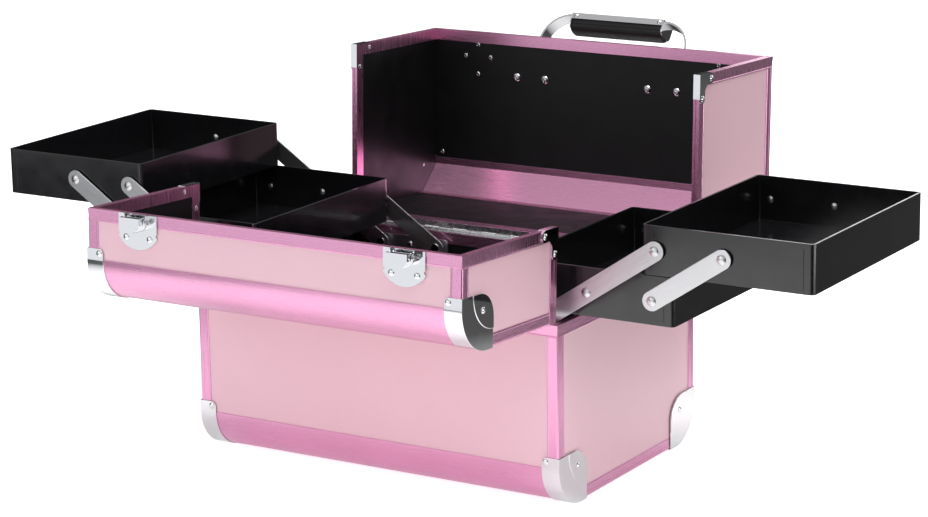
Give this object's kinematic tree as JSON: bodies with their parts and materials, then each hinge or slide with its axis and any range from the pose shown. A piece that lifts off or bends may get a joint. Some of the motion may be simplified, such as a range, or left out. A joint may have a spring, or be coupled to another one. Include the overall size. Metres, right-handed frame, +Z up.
{
  "type": "makeup train case",
  "caption": "Hard-sided makeup case with two half lids on piano hinges, cantilever trays that swing out to both sides, lever latches and a folding top handle.",
  "frame": {"origin": "middle of the flat underside of the base", "axes": "+X is the case's right seen from its front, -Y is its front, +Z is up"},
  "size_m": [0.807, 0.6174, 0.3398],
  "materials": {
    "case_panels": "pale pink plastic skin on a thin board, soft gloss",
    "frame_extrusions": "pink anodised aluminium extrusion, fine drawn lines",
    "lining": "black smooth lining sheet, low sheen",
    "chrome_hardware": "bright chromed pressed steel",
    "steel_hardware": "bright zinc plated steel",
    "brushed_arms": "flat bars brushed lengthwise",
    "trays": "glossy black moulded plastic",
    "handle_grip": "black padded sleeve, fine grain"
  },
  "bodies": {
    "base": {"base_long_panels": "case_panels", "base_end_panels": "case_panels", "base_floor_panel": "case_panels", "base_edge_rails": "frame_extrusions", "base_corner_rails": "frame_extrusions", "base_rim": "frame_extrusions", "base_lining": "lining", "base_corner_caps": "chrome_hardware", "base_rivets": "chrome_hardware", "pivot_plates": "brushed_arms", "front_hinge_base_leaf": "steel_hardware", "rear_hinge_base_leaf": "steel_hardware"},
    "front_lid": {"front_lid_top_panel": "case_panels", "front_lid_wall_panel": "case_panels", "front_lid_end_panels": "case_panels", "front_lid_edge_rail": "frame_extrusions", "front_lid_corner_rails": "frame_extrusions", "front_lid_rim": "frame_extrusions", "front_lid_lining": "lining", "front_lid_corner_caps": "chrome_hardware", "front_lid_rim_brackets": "chrome_hardware", "front_lid_rivets": "chrome_hardware", "front_hinge_lid_leaf": "steel_hardware", "front_hinge_pin": "steel_hardware", "latch_plates": "chrome_hardware", "latch_pins": "steel_hardware"},
    "left_latch_lever": {"left_latch_lever": "chrome_hardware"},
    "right_latch_lever": {"right_latch_lever": "chrome_hardware"},
    "rear_lid": {"rear_lid_top_panel": "case_panels", "rear_lid_wall_panel": "case_panels", "rear_lid_end_panels": "case_panels", "rear_lid_edge_rail": "frame_extrusions", "rear_lid_corner_rails": "frame_extrusions", "rear_lid_rim": "frame_extrusions", "rear_lid_lining": "lining", "rear_lid_corner_caps": "chrome_hardware", "rear_lid_rim_brackets": "chrome_hardware", "rear_lid_rivets": "chrome_hardware", "rear_hinge_lid_leaf": "steel_hardware", "rear_hinge_pin": "steel_hardware", "latch_keepers": "chrome_hardware", "handle_brackets": "chrome_hardware", "handle_screws": "chrome_hardware"},
    "handle": {"handle_strap": "chrome_hardware", "handle_grip": "handle_grip", "handle_rivets": "chrome_hardware"},
    "left_long_arms": {"left_long_arms": "brushed_arms"},
    "left_base_arms": {"left_base_arms": "brushed_arms"},
    "left_link_arms": {"left_link_arms": "brushed_arms"},
    "left_lower_tray": {"left_lower_tray": "trays", "left_lower_tray_pins": "steel_hardware"},
    "left_upper_tray": {"left_upper_tray": "trays", "left_upper_tray_pins": "steel_hardware"},
    "right_long_arms": {"right_long_arms": "brushed_arms"},
    "right_base_arms": {"right_base_arms": "brushed_arms"},
    "right_link_arms": {"right_link_arms": "brushed_arms"},
    "right_lower_tray": {"right_lower_tray": "trays", "right_lower_tray_pins": "steel_hardware"},
    "right_upper_tray": {"right_upper_tray": "trays", "right_upper_tray_pins": "steel_hardware"}
  },
  "joints": [
    {"name": "front_lid_hinge", "type": "hinge", "parent": "base", "child": "front_lid", "pos_m": [0, -0.1245, 0.162], "axis": [-1, 0, 0], "range_deg": [0, 15]},
    {"name": "rear_lid_hinge", "type": "hinge", "parent": "base", "child": "rear_lid", "pos_m": [0, 0.1245, 0.162], "axis": [1, 0, 0], "range_deg": [0, 20]},
    {"name": "left_latch_pivot", "type": "hinge", "parent": "front_lid", "child": "left_latch_lever", "pos_m": [-0.13, -0.27336, 0.24691], "axis": [-1, 0, 0], "range_deg": [0, 80]},
    {"name": "right_latch_pivot", "type": "hinge", "parent": "front_lid", "child": "right_latch_lever", "pos_m": [0.13, -0.27336, 0.24691], "axis": [-1, 0, 0], "range_deg": [0, 80]},
    {"name": "handle_pivot", "type": "hinge", "parent": "rear_lid", "child": "handle", "pos_m": [0, 0.28787, 0.28004], "axis": [-1, 0, 0], "range_deg": [-30, 140]},
    {"name": "left_trays_fold", "type": "hinge", "parent": "base", "child": "left_long_arms", "pos_m": [-0.1395, 0, 0.1475], "axis": [0, 1, 0], "range_deg": [0, 112.8]},
    {"name": "left_lower_tray_pivot", "type": "hinge", "parent": "left_long_arms", "child": "left_lower_tray", "pos_m": [-0.202, 0, 0.18896], "axis": [0, 1, 0], "range_deg": [-112.8, 0]},
    {"name": "left_upper_tray_pivot", "type": "hinge", "parent": "left_long_arms", "child": "left_upper_tray", "pos_m": [-0.26449, 0, 0.23042], "axis": [0, 1, 0], "range_deg": [-112.8, 0]},
    {"name": "left_base_arms_pivot", "type": "hinge", "parent": "base", "child": "left_base_arms", "pos_m": [-0.0795, 0, 0.1475], "axis": [0, 1, 0], "range_deg": [0, 112.8]},
    {"name": "left_link_arms_pivot", "type": "hinge", "parent": "left_lower_tray", "child": "left_link_arms", "pos_m": [-0.262, 0, 0.18896], "axis": [0, 1, 0], "range_deg": [0, 112.8]},
    {"name": "right_trays_fold", "type": "hinge", "parent": "base", "child": "right_long_arms", "pos_m": [0.1395, 0, 0.1475], "axis": [0, -1, 0], "range_deg": [0, 112.8]},
    {"name": "right_lower_tray_pivot", "type": "hinge", "parent": "right_long_arms", "child": "right_lower_tray", "pos_m": [0.202, 0, 0.18896], "axis": [0, -1, 0], "range_deg": [-112.8, 0]},
    {"name": "right_upper_tray_pivot", "type": "hinge", "parent": "right_long_arms", "child": "right_upper_tray", "pos_m": [0.26449, 0, 0.23042], "axis": [0, -1, 0], "range_deg": [-112.8, 0]},
    {"name": "right_base_arms_pivot", "type": "hinge", "parent": "base", "child": "right_base_arms", "pos_m": [0.0795, 0, 0.1475], "axis": [0, -1, 0], "range_deg": [0, 112.8]},
    {"name": "right_link_arms_pivot", "type": "hinge", "parent": "right_lower_tray", "child": "right_link_arms", "pos_m": [0.262, 0, 0.18896], "axis": [0, -1, 0], "range_deg": [0, 112.8]}
  ],
  "couplings": [
    {"joint": "left_lower_tray_pivot", "follows": "left_trays_fold", "ratio": -1},
    {"joint": "left_upper_tray_pivot", "follows": "left_trays_fold", "ratio": -1},
    {"joint": "left_base_arms_pivot", "follows": "left_trays_fold", "ratio": 1},
    {"joint": "left_link_arms_pivot", "follows": "left_trays_fold", "ratio": 1},
    {"joint": "right_lower_tray_pivot", "follows": "right_trays_fold", "ratio": -1},
    {"joint": "right_upper_tray_pivot", "follows": "right_trays_fold", "ratio": -1},
    {"joint": "right_base_arms_pivot", "follows": "right_trays_fold", "ratio": 1},
    {"joint": "right_link_arms_pivot", "follows": "right_trays_fold", "ratio": 1}
  ]
}
